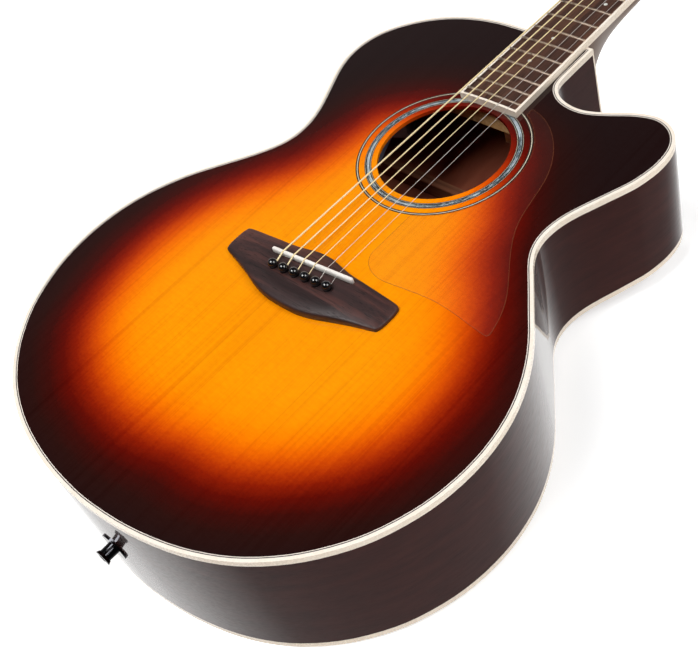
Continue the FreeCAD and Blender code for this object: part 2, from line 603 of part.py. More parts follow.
wheel = wheel_local()
NW = -HEAD_T - 4.9                          # height of the gear plane below the headstock face
housings, bushings, screws = [], [], []
for i in range(6):
    q = STR[i]
    sd, px, s0 = q["side"], q["px"], POST_S[q["k"]]
    name = "%d" % (6 - i)
    # post with worm wheel and string turns
    p = cyl((px, s0, NW - 3.0), (0, 0, 1), POST_R, 15.0 - NW + 3.0)
    w = wheel.copy()
    w.translate(V(px, s0, NW))
    p = p.fuse(w)
    r = q["r"]
    p = p.cut(cyl((px - 6, s0, 10.9 + r), (1, 0, 0), 0.9, 12))
    for j in range(3):
        p = p.fuse(Part.makeTorus(POST_R + 0.85 * r, r, V(px, s0, q["ring"] - 1.9 * r * j)))
    add("tuner_post_" + name, hs(p))
    # button with worm shaft
    wm = worm.copy()
    wm.Placement = FreeCAD.Placement(FreeCAD.Matrix(0, 0, 1, 0, -1, 0, 0, 0, 0, -1, 0, 0, 0, 0, 0, 1))
    wm.translate(V(px, s0 + WORM_OFF, NW))
    sh_ = cyl((px, s0 + WORM_OFF, NW), (sd, 0, 0), 1.55, 22)
    sh_ = sh_.fuse(cyl((px + sd * 7.0, s0 + WORM_OFF, NW), (sd, 0, 0), 2.2, 10.0))
    oval = Part.Wire([Part.Arc(V(8.8, -1.8, 0), V(0, -10.6, 0), V(-8.8, -1.8, 0)).toShape(), Part.makeLine(V(-8.8, -1.8, 0), V(-8.8, 1.8, 0)),
                      Part.Arc(V(-8.8, 1.8, 0), V(0, 10.6, 0), V(8.8, 1.8, 0)).toShape(), Part.makeLine(V(8.8, 1.8, 0), V(8.8, -1.8, 0))])
    bt = Part.Face(oval).extrude(V(0, 0, 7.4))
    bt = bt.makeChamfer(1.6, [e for e in bt.Edges if abs(e.BoundBox.ZLength) < 0.01])
    bt.translate(V(px + sd * 23.6, s0 + WORM_OFF, NW - 3.7))
    neck_b = Part.makeCone(3.4, 2.4, 5.0, V(px + sd * 11.9, s0 + WORM_OFF, NW), V(sd, 0, 0))
    b = sh_.fuse(wm).fuse(neck_b).fuse(bt)
    add("tuner_button_" + name, hs(b))
    # sealed housing
    a0, a1 = px - sd * 9.0, px + sd * 11.0
    c0, c1 = px - sd * 7.4, px + sd * 9.2
    hb = box(min(a0, a1), max(a0, a1), s0 - 8.6, s0 + 12.6, NW - 5.2, -HEAD_T)
    cav = box(min(c0, c1), max(c0, c1), s0 - 6.8, s0 + 11.0, NW - 3.6, NW + 3.6)
    hb = cuts(hb, [cav, cyl((px, s0, NW), (0, 0, 1), POST_R + 0.05, 12),
                   cyl((px, s0 + WORM_OFF, NW), (sd, 0, 0), 2.25, 20)])
    tab = cyl((px - sd * 2.0, s0 - 11.5, -HEAD_T - 2.0), (0, 0, 1), 3.2, 2.0).fuse(box(px - sd * 2.0 - 3.2, px - sd * 2.0 + 3.2, s0 - 11.5, s0 - 8.6, -HEAD_T - 2.0, -HEAD_T))
    tab = tab.cut(cyl((px - sd * 2.0, s0 - 11.5, -HEAD_T - 3), (0, 0, 1), 1.2, 5))
    housings.append(hs(hb.fuse(tab)))
    screws.append(hs(cyl((px - sd * 2.0, s0 - 11.5, -HEAD_T - 3.2), (0, 0, 1), 2.2, 1.2).fuse(cyl((px - sd * 2.0, s0 - 11.5, -HEAD_T - 2.0), (0, 0, 1), 1.15, 9))))
    hexn = poly_prism([(px + 5.9 * math.cos(math.pi / 3 * j), s0 + 5.9 * math.sin(math.pi / 3 * j)) for j in range(6)], 0.8, 3.4)
    bsh = fuse([cyl((px, s0, 0), (0, 0, 1), 6.6, 0.8), hexn, cyl((px, s0, -12.5), (0, 0, 1), 4.4, 12.5)])
    bsh = bsh.cut(cyl((px, s0, -20), (0, 0, 1), POST_R + 0.05, 40))
    bushings.append(hs(bsh))
add("tuner_housings", housings)
add("tuner_bushings", bushings)
nk = PARTS["neck"][0]
for i in range(6):
    q = STR[i]
    nk = nk.cut(hs(cyl((q["px"] - q["side"] * 2.0, POST_S[q["k"]] - 11.5, -HEAD_T - 0.1), (0, 0, 1), 1.15, 7.1)))
PARTS["neck"] = [max(nk.Solids, key=lambda s: s.Volume)]
add("fixing_screws", screws)

# ---------------------------------------------------------------- strap button, jack
sbx = -13.5
sb = fuse([cyl((sbx, 303, -46), (-1, 0, 0), 5.0, 13.0), Part.makeCone(5.0, 7.0, 2.0, V(sbx - 13.0, 303, -46), V(-1, 0, 0)), cyl((sbx - 15.0, 303, -46), (-1, 0, 0), 7.0, 1.6),
           cyl((sbx + 11, 303, -46), (-1, 0, 0), 2.0, 12)])
hole_sb = cyl((sbx + 11, 303, -46), (-1, 0, 0), 2.0, 24)
nk = PARTS["neck"][0]
sb = sb.cut(nk.cut(hole_sb))
sb = max(sb.Solids, key=lambda s: s.Volume)
PARTS["neck"] = [max(nk.cut(hole_sb).Solids, key=lambda s: s.Volume)]
add("heel_strap_button", sb)
ye = -229.4
jack = fuse([cyl((0, ye - 1.2 - 8.0, JACK_Z), (0, 1, 0), 5.0, 8.0), Part.makeCone(6.6, 5.6, 2.5, V(0, ye - 11.7, JACK_Z), V(0, 1, 0)),
             cyl((0, ye - 1.2, JACK_Z), (0, 1, 0), 6.0, 36.0)])
jack = jack.cut(cyl((0, ye - 20, JACK_Z), (0, 1, 0), JACK_R, 52.0))
jack = jack.cut(cyl((0, -222, JACK_Z), (0, 1, 0), 4.6, 24.0))
add("endpin_jack", jack)
wsh = cyl((0, ye - 1.2, JACK_Z), (0, 1, 0), 11.5, 4.0).cut(cyl((0, ye - 5, JACK_Z), (0, 1, 0), 6.0, 20)).cut(prism(0, -120, -5))
ycap = ye + 34.8
jn = fuse([Part.Face(Part.makePolygon([V(8.2 * math.cos(math.pi / 3 * i), -206.0, JACK_Z + 8.2 * math.sin(math.pi / 3 * i)) for i in range(7)])).extrude(V(0, 4, 0))])
jn = jn.cut(cyl((0, -210, JACK_Z), (0, 1, 0), 6.0, 20))
add("jack_nut_and_washer", [wsh, jn])

# ---------------------------------------------------------------- preamp (local frame: X toward the tail, Y up, Z outward)
body_solid = prism(0, -118, 0)
bez = box(-38, 38, -18.5, 18.5, -5, 1.8).cut(box(-34, 34, -14.5, 14.5, -30, 10))
bez = pre(bez).cut(body_solid)
skirt = box(-35.5, 35.5, -16, 16, -12, 1.8).cut(box(-34, 34, -14.5, 14.5, -30, 10))
bez = bez.fuse(pre(skirt))
add("preamp_bezel", max(bez.Solids, key=lambda s: s.Volume))
KX, KY, BX, BY = 26.0, 4.5, 26.0, -9.0
SLX = [2.5, 9.5, 16.5]
face = box(-34, 34, -14.5, 14.5, -5, -3)
face = cuts(face, [cyl((KX, KY, -20), (0, 0, 1), 2.05, 30), cyl((BX, BY, -20), (0, 0, 1), 2.05, 30), box(-31.2, -3.8, -9.2, 9.2, -20, 0)]
            + [box(x - 0.85, x + 0.85, -9.2, 9.2, -20, 0) for x in SLX])
for sy in (-1, 1):
    ya, yb = sorted((sy * 9.7, sy * 10.7))
    face = face.fuse(box(-33.4, -31.4, ya, yb, -3, -0.8))
face = face.fuse(cyl((-32.4, -10.7, -1.7), (0, 1, 0), 0.5, 21.4))
add("preamp_panel", pre(face))
hsg = box(-34, 34, -14.5, 14.5, -41, -5).fuse(box(-34, -2, -14.5, 14.5, -57, -41))
cavp = box(-32.5, 32.5, -13, 13, -39.5, -4).fuse(box(-32.5, -3.5, -13, 13, -55.5, -39))
hsg = hsg.cut(cavp)
cell = box(-31.0, -4.5, -8.75, 8.75, -54.5, -6.0)
hsg = hsg.cut(cyl((32, 0, -30), (1, 0, 0), 1.5, 4)).cut(cyl((32, -8, -30), (1, 0, 0), 1.5, 4))
add("battery", pre(cell))
board_ = box(-2.5, 32.4, -12.9, 12.9, -16.5, -15.0)
add("preamp_case", [pre(hsg), pre(board_)])
knob = fuse([cyl((KX, KY, -2.6), (0, 0, 1), 5.2, 4.0), cyl((KX, KY, -12), (0, 0, 1), 2.0, 10), cyl((KX, KY, -6.6), (0, 0, 1), 3.0, 1.2)])
knob = knob.cut(box(KX - 0.4, KX + 0.4, KY + 1.5, KY + 6, 0.9, 5))
add("volume_knob", pre(knob))
for nme, x in zip(("bass", "middle", "treble"), SLX):
    s_ = fuse([box(x - 0.75, x + 0.75, -0.9, 0.9, -6.5, -2.5), box(x - 2.2, x + 2.2, -2.0, 2.0, -2.6, 0.6), box(x - 1.8, x + 1.8, -1.8, 1.8, -7.0, -5.4)])
    s_ = s_.cut(box(x - 3, x + 3, -0.25, 0.25, 0.2, 2))
    add("slider_" + nme, pre(s_))
add("push_button", pre(fuse([cyl((BX, BY, -8), (0, 0, 1), 2.0, 6.6), cyl((BX, BY, -6.6), (0, 0, 1), 2.8, 1.2)])))
door = box(-31.6, -3.0, -10.3, 10.3, -2.5, -1.1)
door = cuts(door, [box(-33, -31.0, 9.3, 12, -4, 0), box(-33, -31.0, -12, -9.3, -4, 0)])
door = door.fuse(cyl((-32.4, -9.3, -1.7), (0, 1, 0), 0.98, 18.6)).fuse(box(-32.4, -31.0, -9.3, 9.3, -2.5, -1.1))
door = door.cut(cyl((-32.4, -12, -1.7), (0, 1, 0), 0.56, 24))
door = door.fuse(box(-5.0, -3.6, -4, 4, -1.1, -0.5))
add("battery_door", pre(door))

# ---------------------------------------------------------------- wiring
c1 = PM.multVec(V(34, 0, -30))
c2 = PM.multVec(V(34, -8, -30))
off = PX * 14
w1 = path_pipe([V(-34.5, -3.8, 3.0), V(-34.5, -3.8, -30), c1.add(off), c1.sub(PX * 1.4)], [6, 6], 1.2)
w2 = path_pipe([V(0, -192.6, JACK_Z), V(0, -176, JACK_Z), c2.add(off), c2.sub(PX * 1.4)], [8, 6], 1.4)
add("pickup_and_wiring", [piezo, w1, w2])

# ---------------------------------------------------------------- export
bb_ = FreeCAD.BoundBox()
for nme, sol in PARTS.items():
    for s in sol:
        bb_.add(s.optimalBoundingBox(False, False))
print("bounds", bb_)
SHIFT = V(-(bb_.XMin + bb_.XMax) / 2, -(bb_.YMin + bb_.YMax) / 2, -bb_.ZMin)
print("shift", SHIFT.x, SHIFT.y, SHIFT.z, "nodes", len(PARTS))
for nme, sol in PARTS.items():
    c = Part.makeCompound(sol) if len(sol) > 1 else sol[0].copy()
    c.translate(SHIFT)
    bad = [s for s in sol if not s.isValid() or s.Volume <= 0]
    print("%-20s solids %2d volume %10.1f %s" % (nme, len(sol), sum(s.Volume for s in sol), "INVALID" if bad or not sol else ""))
    c.exportStep("parts/%s.step" % nme)
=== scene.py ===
import json
import math

import bpy
import numpy as np
from mathutils import Matrix, Vector
from mathutils.geometry import delaunay_2d_cdt


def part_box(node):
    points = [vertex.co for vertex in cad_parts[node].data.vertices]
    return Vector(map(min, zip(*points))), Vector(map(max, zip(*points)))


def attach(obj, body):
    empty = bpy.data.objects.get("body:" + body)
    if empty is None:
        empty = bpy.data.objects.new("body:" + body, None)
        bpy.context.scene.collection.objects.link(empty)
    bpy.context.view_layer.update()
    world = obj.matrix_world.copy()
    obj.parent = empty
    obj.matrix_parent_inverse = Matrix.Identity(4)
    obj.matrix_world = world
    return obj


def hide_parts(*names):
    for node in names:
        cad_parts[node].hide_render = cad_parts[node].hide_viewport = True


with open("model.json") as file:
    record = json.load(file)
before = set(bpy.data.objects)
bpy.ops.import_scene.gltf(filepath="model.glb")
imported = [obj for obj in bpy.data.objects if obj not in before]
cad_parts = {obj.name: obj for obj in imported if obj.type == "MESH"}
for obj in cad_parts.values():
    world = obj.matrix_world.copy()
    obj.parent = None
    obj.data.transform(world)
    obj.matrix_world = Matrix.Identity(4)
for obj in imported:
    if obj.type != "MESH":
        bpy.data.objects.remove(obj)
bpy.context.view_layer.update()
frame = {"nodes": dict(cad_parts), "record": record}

nodes = frame["nodes"]
ROOT = "guitar"

# ------------------------------------------------------------------ places, from the CAD
_lo, _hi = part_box("rosette_pearl")
HOLE = ((_lo.x + _hi.x) / 2, (_lo.y + _hi.y) / 2)      # centre of the soundhole
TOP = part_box("soundboard")[1].z                        # the soundboard's face
X0, Y0 = HOLE[0], HOLE[1] - 0.144                      # the saddle line's middle


def R(x, y, z=0.0):
    """A point given in mm from the saddle line's middle on the soundboard, in the row frame."""
    return (X0 + x * 0.001, Y0 + y * 0.001, TOP + z * 0.001)


# ------------------------------------------------------------------ camera
cam_data = bpy.data.cameras.new("camera")
cam = bpy.data.objects.new("camera", cam_data)
bpy.context.scene.collection.objects.link(cam)
right = Vector((0.70015926, 0.66549841, -0.25862883))
up = Vector((-0.39130429, 0.66065253, 0.64063967))
back = Vector((0.59720848, -0.34734722, 0.72297437))
m = Matrix((right, up, back)).transposed().to_4x4()
m.translation = Vector(R(542.961, -307.042, 586.392))
cam.matrix_world = m
cam_data.sensor_width = 36.0
cam_data.lens = 36.0 * 1187.869 / 698.0
cam_data.clip_start, cam_data.clip_end = 0.01, 50.0
cam_data.dof.use_dof = False
bpy.context.scene.camera = cam


# ------------------------------------------------------------------ node helpers
class Mat:
    """A small helper for writing a node material."""

    def __init__(self, name):
        self.m = bpy.data.materials.new(name)
        self.m.use_nodes = True
        self.t = self.m.node_tree
        self.b = next(n for n in self.t.nodes if n.type == "BSDF_PRINCIPLED")
        self._obj = None

    def n(self, kind, **props):
        node = self.t.nodes.new(kind)
        for k, v in props.items():
            setattr(node, k, v)
        return node

    def put(self, socket, value):
        if isinstance(value, bpy.types.NodeSocket):
            self.t.links.new(value, socket)
        else:
            socket.default_value = value

    def set(self, **kw):
        names = dict(color="Base Color", metallic="Metallic", rough="Roughness", ior="IOR", alpha="Alpha",
                     coat="Coat Weight", coat_rough="Coat Roughness", coat_ior="Coat IOR", spec="Specular IOR Level",
                     normal="Normal", coat_normal="Coat Normal", coat_tint="Coat Tint", sheen="Sheen Weight",
                     aniso="Anisotropic", emission="Emission Strength")
        for k, v in kw.items():
            if isinstance(v, tuple) and len(v) == 3:
                v = (*v, 1.0)
            self.put(self.b.inputs[names[k]], v)
        return self

    def obj(self):
        if self._obj is None:
            self._obj = self.n("ShaderNodeTexCoord").outputs["Object"]
        return self._obj

    def mapping(self, scale=(1, 1, 1), loc=(0, 0, 0), rot=(0, 0, 0)):
        mp = self.n("ShaderNodeMapping")
        self.put(mp.inputs["Vector"], self.obj())
        mp.inputs["Scale"].default_value = scale
        mp.inputs["Location"].default_value = loc
        mp.inputs["Rotation"].default_value = rot
        return mp.outputs["Vector"]

    def noise(self, vec, scale=1.0, detail=3.0, rough=0.5, dist=0.0, color=False):
        t = self.n("ShaderNodeTexNoise")
        self.put(t.inputs["Vector"], vec)
        t.inputs["Scale"].default_value = scale
        t.inputs["Detail"].default_value = detail
        t.inputs["Roughness"].default_value = rough
        t.inputs["Distortion"].default_value = dist
        return t.outputs["Color" if color else "Fac"]

    def voronoi(self, vec, scale=1.0, feature="F1", out="Distance", rand=1.0):
        t = self.n("ShaderNodeTexVoronoi", feature=feature)
        self.put(t.inputs["Vector"], vec)
        t.inputs["Scale"].default_value = scale
        t.inputs["Randomness"].default_value = rand
        return t.outputs[out]

    def wave(self, vec, scale=1.0, dist=0.0, detail=2.0, dscale=1.0, axis="X", profile="SIN"):
        t = self.n("ShaderNodeTexWave", wave_type="BANDS", bands_direction=axis, wave_profile=profile)
        self.put(t.inputs["Vector"], vec)
        t.inputs["Scale"].default_value = scale
        t.inputs["Distortion"].default_value = dist
        t.inputs["Detail"].default_value = detail
        t.inputs["Detail Scale"].default_value = dscale
        return t.outputs["Fac"]

    def ramp(self, fac, stops, mode="LINEAR"):
        t = self.n("ShaderNodeValToRGB")
        self.put(t.inputs["Fac"], fac)
        cr = t.color_ramp
        cr.interpolation = mode
        while len(cr.elements) > 1:
            cr.elements.remove(cr.elements[-1])
        for i, (p, c) in enumerate(stops):
            e = cr.elements[0] if i == 0 else cr.elements.new(p)
            e.position = p
            e.color = (*c, 1.0) if len(c) == 3 else c
        return t.outputs["Color"]

    def rng(self, v, a, b, c=0.0, d=1.0, smooth=False):
        t = self.n("ShaderNodeMapRange", interpolation_type="SMOOTHSTEP" if smooth else "LINEAR")
        self.put(t.inputs["Value"], v)
        for k, x in (("From Min", a), ("From Max", b), ("To Min", c), ("To Max", d)):
            t.inputs[k].default_value = x
        return t.outputs["Result"]

    def math(self, op, a, b=0.0, c=0.0):
        t = self.n("ShaderNodeMath", operation=op)
        self.put(t.inputs[0], a)
        self.put(t.inputs[1], b)
        if op in ("MULTIPLY_ADD", "COMPARE"):
            self.put(t.inputs[2], c)
        return t.outputs[0]

    def mix(self, fac, a, b, blend="MIX"):
        t = self.n("ShaderNodeMix", data_type="RGBA", blend_type=blend)
        ins = [s for s in t.inputs if s.enabled]
        self.put(ins[0], fac)
        self.put(ins[1], (*a, 1.0) if isinstance(a, tuple) and len(a) == 3 else a)
        self.put(ins[2], (*b, 1.0) if isinstance(b, tuple) and len(b) == 3 else b)
        return next(s for s in t.outputs if s.enabled)

    def sep(self, vec):
        t = self.n("ShaderNodeSeparateXYZ")
        self.put(t.inputs[0], vec)
        return t.outputs

    def attr(self, name):
        return self.n("ShaderNodeAttribute", attribute_name=name).outputs["Fac"]

    def bump(self, height, strength=0.2, dist=0.001):
        t = self.n("ShaderNodeBump")
        self.put(t.inputs["Height"], height)
        t.inputs["Strength"].default_value = strength
        t.inputs["Distance"].default_value = dist
        return t.outputs["Normal"]


def srgb(r, g, b):
    def f(v):
        v /= 255.0
        return v / 12.92 if v <= 0.04045 else ((v + 0.055) / 1.055) ** 2.4
    return (f(r), f(g), f(b))


def radius_from(mt, cx, cy):
    """Distance in mm from a vertical axis, as a node socket."""
    s = mt.sep(mt.mapping(scale=(1000, 1000, 1000), loc=(-cx * 1000, -cy * 1000, 0)))
    return mt.math("SQRT", mt.math("ADD", mt.math("MULTIPLY", s[0], s[0]), mt.math("MULTIPLY", s[1], s[1]))), s


# ------------------------------------------------------------------ mesh helpers
def make(name, verts, faces, mats, body=ROOT, mat_index=None, smooth=True, attrs=None):
    me = bpy.data.meshes.new(name)
    me.from_pydata([tuple(v) for v in verts], [], [tuple(f) for f in faces])
    for mt in mats:
        me.materials.append(mt)
    if mat_index is not None:
        me.polygons.foreach_set("material_index", np.asarray(mat_index, np.int32))
    me.polygons.foreach_set("use_smooth", np.full(len(me.polygons), smooth))
    for k, v in (attrs or {}).items():
        a = me.attributes.new(k, "FLOAT", "POINT")
        a.data.foreach_set("value", np.asarray(v, np.float32))
    me.update()
    o = bpy.data.objects.new(name, me)
    bpy.context.scene.collection.objects.link(o)
    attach(o, body)
    return o


def welded(node):
    """A CAD node's welded points and triangles."""
    me = nodes[node].data
    co = np.zeros(len(me.vertices) * 3)
    me.vertices.foreach_get("co", co)
    co = co.reshape(-1, 3)
    me.calc_loop_triangles()
    tri = np.zeros(len(me.loop_triangles) * 3, np.int32)
    me.loop_triangles.foreach_get("vertices", tri)
    key = np.round(co, 7)
    uniq, inv = np.unique(key, axis=0, return_inverse=True)
    inv = np.asarray(inv).ravel()
    tri = inv[tri].reshape(-1, 3)
    tri = tri[(tri[:, 0] != tri[:, 1]) & (tri[:, 1] != tri[:, 2]) & (tri[:, 0] != tri[:, 2])]
    return uniq, tri


def flat_loops(node, z):
    """Boundary loops, as closed point lists in x and y, of the node's flat face at height z."""
    co, tri = welded(node)
    on = np.abs(co[:, 2] - z) < 2e-6
    top = tri[on[tri].all(axis=1)]
    count = {}
    for t in top:
        for a, b in ((t[0], t[1]), (t[1], t[2]), (t[2], t[0])):
            k = (min(a, b), max(a, b))
            count[k] = count.get(k, 0) + 1
    nxt = {}
    for (a, b), c in count.items():
        if c == 1:
            nxt.setdefault(a, []).append(b)
            nxt.setdefault(b, []).append(a)
    loops, seen = [], set()
    for s in nxt:
        if s in seen:
            continue
        loop, prev, cur = [s], None, s
        seen.add(s)
        while True:
            step = [q for q in nxt[cur] if q != prev and (q not in seen or q == s)]
            if not step or (step[0] == s and len(loop) > 2):
                break
            prev, cur = cur, step[0]
            seen.add(cur)
            loop.append(cur)
        loops.append(co[loop][:, :2])
    loops.sort(key=lambda q: -np.ptp(q[:, 0]) * np.ptp(q[:, 1]))
    return loops


def area2(p):
    q = np.roll(p, -1, axis=0)
    return float((p[:, 0] * q[:, 1] - q[:, 0] * p[:, 1]).sum())


def ccw(p):
    return p if area2(p) > 0 else p[::-1]


def inside(p, poly):
    """Which points lie in a closed polygon."""
    x, y = p[:, 0][:, None], p[:, 1][:, None]
    a, b = poly, np.roll(poly, -1, axis=0)
    up_ = (a[:, 1][None] > y) != (b[:, 1][None] > y)
    with np.errstate(divide="ignore", invalid="ignore"):
        xi = (b[:, 0] - a[:, 0])[None] * (y - a[:, 1][None]) / (b[:, 1] - a[:, 1])[None] + a[:, 0][None]
    return (up_ & (x < xi)).sum(axis=1) % 2 == 1


def dist_to(p, poly):
    """Distance of each point from a closed polyline."""
    a, b = poly, np.roll(poly, -1, axis=0)
    d = b - a
    l2 = np.maximum((d * d).sum(axis=1), 1e-18)
    best = np.full(len(p), 1e9)
    for i in range(0, len(p), 4000):
        q = p[i:i + 4000]
        t = np.clip(((q[:, None, :] - a[None]) * d[None]).sum(axis=2) / l2[None], 0, 1)
        r = q[:, None, :] - (a[None] + t[:, :, None] * d[None])
        best[i:i + 4000] = np.sqrt((r * r).sum(axis=2)).min(axis=1)
    return best


def offset(loop, d):
    """A counterclockwise loop moved outward by d, with mitred corners."""
    p0, p1, p2 = np.roll(loop, 1, axis=0), loop, np.roll(loop, -1, axis=0)
    e1, e2 = p1 - p0, p2 - p1
    e1 /= np.linalg.norm(e1, axis=1)[:, None]
    e2 /= np.linalg.norm(e2, axis=1)[:, None]
    n1, n2 = np.stack([e1[:, 1], -e1[:, 0]], 1), np.stack([e2[:, 1], -e2[:, 0]], 1)
    n = n1 + n2
    n /= np.linalg.norm(n, axis=1)[:, None]
    k = 1.0 / np.maximum((n * n1).sum(axis=1), 0.5)
    return p1 + n * (d * k)[:, None]


def thin(loop, gap):
    """A loop without points that are nearer than gap to the one before."""
    out = [loop[0]]
    for p in loop[1:]:
        if np.linalg.norm(p - out[-1]) >= gap:
            out.append(p)
    if np.linalg.norm(out[0] - out[-1]) < gap:
        out.pop()
    return np.array(out)


def fill(loops, extra, keep):
    """Triangles between loops and loose points; keep says which triangle centres stay."""
    pts, edges, base = [], [], 0
    for lp in loops:
        k = len(lp)
        pts += [Vector((float(a), float(b))) for a, b in lp]
        edges += [(base + i, base + (i + 1) % k) for i in range(k)]
        base += k
    pts += [Vector((float(a), float(b))) for a, b in extra]
    v, _, f, _, _, _ = delaunay_2d_cdt(pts, edges, [], 0, 1e-8, False)
    v = np.array([tuple(q) for q in v])
    f = np.array([tuple(q) for q in f if len(q) == 3])
    f = f[keep(v[f].mean(axis=1))]
    a, b, c = v[f[:, 0]], v[f[:, 1]], v[f[:, 2]]
    cw = ((b - a)[:, 0] * (c - a)[:, 1] - (b - a)[:, 1] * (c - a)[:, 0]) < 0
    f[cw] = f[cw][:, ::-1]
    return v, f


# ------------------------------------------------------------------ materials
def mat_sunburst():
    """Clear gloss over spruce stained from amber in the middle to near black at the rim."""
    k = Mat("sunburst_top")
    s = k.attr("burst")                                     # mm outside the amber area's border
    soft = k.noise(k.mapping(scale=(14, 8, 1)), 1.0, 3.0, 0.55)
    spray = k.noise(k.mapping(scale=(420, 420, 1)), 1.0, 2.0, 0.6)
    s = k.math("ADD", s, k.rng(soft, 0.3, 0.7, -2.4, 2.4))
    s = k.math("ADD", s, k.rng(spray, 0.25, 0.75, -1.6, 1.6))
    fac = k.rng(s, -60.0, 80.0)

    def at(mm):
        return (mm + 60.0) / 140.0
    col = k.ramp(fac, [(at(-60), srgb(250, 152, 4)), (at(-36), srgb(250, 143, 2)), (at(-24), srgb(246, 126, 1)), (at(-14), srgb(232, 102, 2)),
                       (at(-6), srgb(208, 76, 4)), (at(2), srgb(174, 50, 5)), (at(10), srgb(136, 28, 5)), (at(20), srgb(94, 13, 5)),
                       (at(32), srgb(60, 13, 9)), (at(46), srgb(42, 17, 14)), (at(62), srgb(34, 18, 17)), (at(80), srgb(31, 18, 18))])
    line = k.noise(k.mapping(scale=(620, 3.2, 1)), 1.0, 2.0, 0.6)        # fine growth lines
    wide = k.noise(k.mapping(scale=(110, 1.1, 1), loc=(3, 0, 0)), 1.0, 2.0, 0.5)
    g = k.math("ADD", k.rng(line, 0.32, 0.70, -0.5, 0.5), k.rng(wide, 0.3, 0.7, -0.35, 0.35))
    dark = k.rng(g, -0.1, 0.75, 0.0, 0.30)
    col = k.mix(dark, col, srgb(196, 92, 20), "MULTIPLY")
    rare = k.noise(k.mapping(scale=(150, 0.8, 1), loc=(11, 2, 0)), 1.0, 0.0, 0.5)
    col = k.mix(k.rng(rare, 0.72, 0.78, 0.0, 0.16, True), col, srgb(190, 80, 14), "MULTIPLY")
    silk = k.noise(k.mapping(scale=(160, 420, 1), loc=(0, 7, 0)), 1.0, 2.0, 0.5)
    col = k.mix(k.rng(silk, 0.35, 0.70, 0.0, 0.16), col, srgb(224, 150, 120), "MULTIPLY")
    k.set(color=col, rough=k.rng(line, 0.3, 0.7, 0.42, 0.34), spec=0.0, coat=1.0, coat_rough=0.03, coat_ior=1.45)
    return k.m


def mat_brown_gloss(inner=None):
    """Dark brown gloss; with inner, the faces that look into the body are bare mahogany."""
    k = Mat("brown_gloss" if inner is None else "brown_gloss_" + inner)
    g = k.noise(k.mapping(scale=(26, 26, 150)), 1.0, 3.0, 0.55, 0.4)
    c = k.ramp(g, [(0.25, srgb(54, 25, 22)), (0.55, srgb(63, 29, 25)), (0.8, srgb(70, 33, 28))])
    pore = k.noise(k.mapping(scale=(260, 60, 900)), 1.0, 2.0, 0.6)
    c = k.mix(k.rng(pore, 0.55, 0.75, 0.0, 0.14), c, srgb(24, 11, 10))
    rough, coat = k.rng(pore, 0.3, 0.7, 0.30, 0.42), 1.0
    if inner is not None:
        nrm = k.sep(k.n("ShaderNodeNewGeometry").outputs["Normal"])
        if inner == "back":
            mask = k.math("GREATER_THAN", nrm[2], 0.5)
        else:
            pos = k.sep(k.mapping(loc=(-X0, -Y0, 0)))
            dot_ = k.math("ADD", k.math("MULTIPLY", pos[0], nrm[0]), k.math("MULTIPLY", pos[1], nrm[1]))
            mask = k.math("LESS_THAN", dot_, 0.0)
        w = k.noise(k.mapping(scale=(40, 9, 40) if inner == "back" else (9, 9, 60)), 1.0, 3.0, 0.55, 0.3)
        raw = k.ramp(w, [(0.3, srgb(124, 64, 46)), (0.5, srgb(152, 82, 60)), (0.7, srgb(172, 98, 72))])
        c = k.mix(mask, c, raw)
        rough = k.math("ADD", rough, k.math("MULTIPLY", mask, 0.35))
        coat = k.math("SUBTRACT", 1.0, mask)
    k.set(color=c, rough=rough, spec=0.2, coat=coat, coat_rough=0.025, coat_ior=1.45)
    return k.m


def mat_neck():
    """Satin brown; less gloss than the body, so it shows the light around it softly."""
    k = Mat("neck_finish")
    g = k.noise(k.mapping(scale=(240, 26, 200)), 1.0, 3.0, 0.55, 0.4)
    c = k.ramp(g, [(0.25, srgb(100, 74, 56)), (0.55, srgb(112, 84, 64)), (0.8, srgb(124, 94, 74))])
    k.set(color=c, rough=k.rng(g, 0.3, 0.7, 0.34, 0.46), spec=0.5, coat=0.3, coat_rough=0.2, coat_ior=1.5)
    return k.m


def mat_binding():
    k = Mat("cream_binding")
    g = k.noise(k.mapping(scale=(60, 60, 60)), 1.0, 3.0, 0.5)
    c = k.ramp(g, [(0.3, srgb(244, 231, 214)), (0.55, srgb(249, 238, 224)), (0.75, srgb(252, 243, 231))])
    # painted shade: faces turned away from straight up are mixed up to 35% towards a darker tan, so the binding's side
    # faces carry painted shade
    side = k.rng(k.sep(k.n("ShaderNodeNewGeometry").outputs["Normal"])[2], 0.2, 0.9, 1.0, 0.0)
    c = k.mix(k.math("MULTIPLY", side, 0.35), c, srgb(228, 204, 176))
    fine = k.noise(k.mapping(scale=(700, 700, 700)), 1.0, 2.0, 0.5)
    k.set(color=c, rough=k.rng(fine, 0.3, 0.7, 0.22, 0.32), spec=0.4, coat=0.6, coat_rough=0.05, coat_ior=1.45)
    return k.m


def mat_line(name, a, b):
    k = Mat(name)
    g = k.noise(k.mapping(scale=(900, 900, 900)), 1.0, 2.0, 0.5)
    k.set(color=k.mix(g, a, b), rough=k.rng(g, 0.3, 0.7, 0.28, 0.4), spec=0.3, coat=0.8, coat_rough=0.03, coat_ior=1.45)
    return k.m


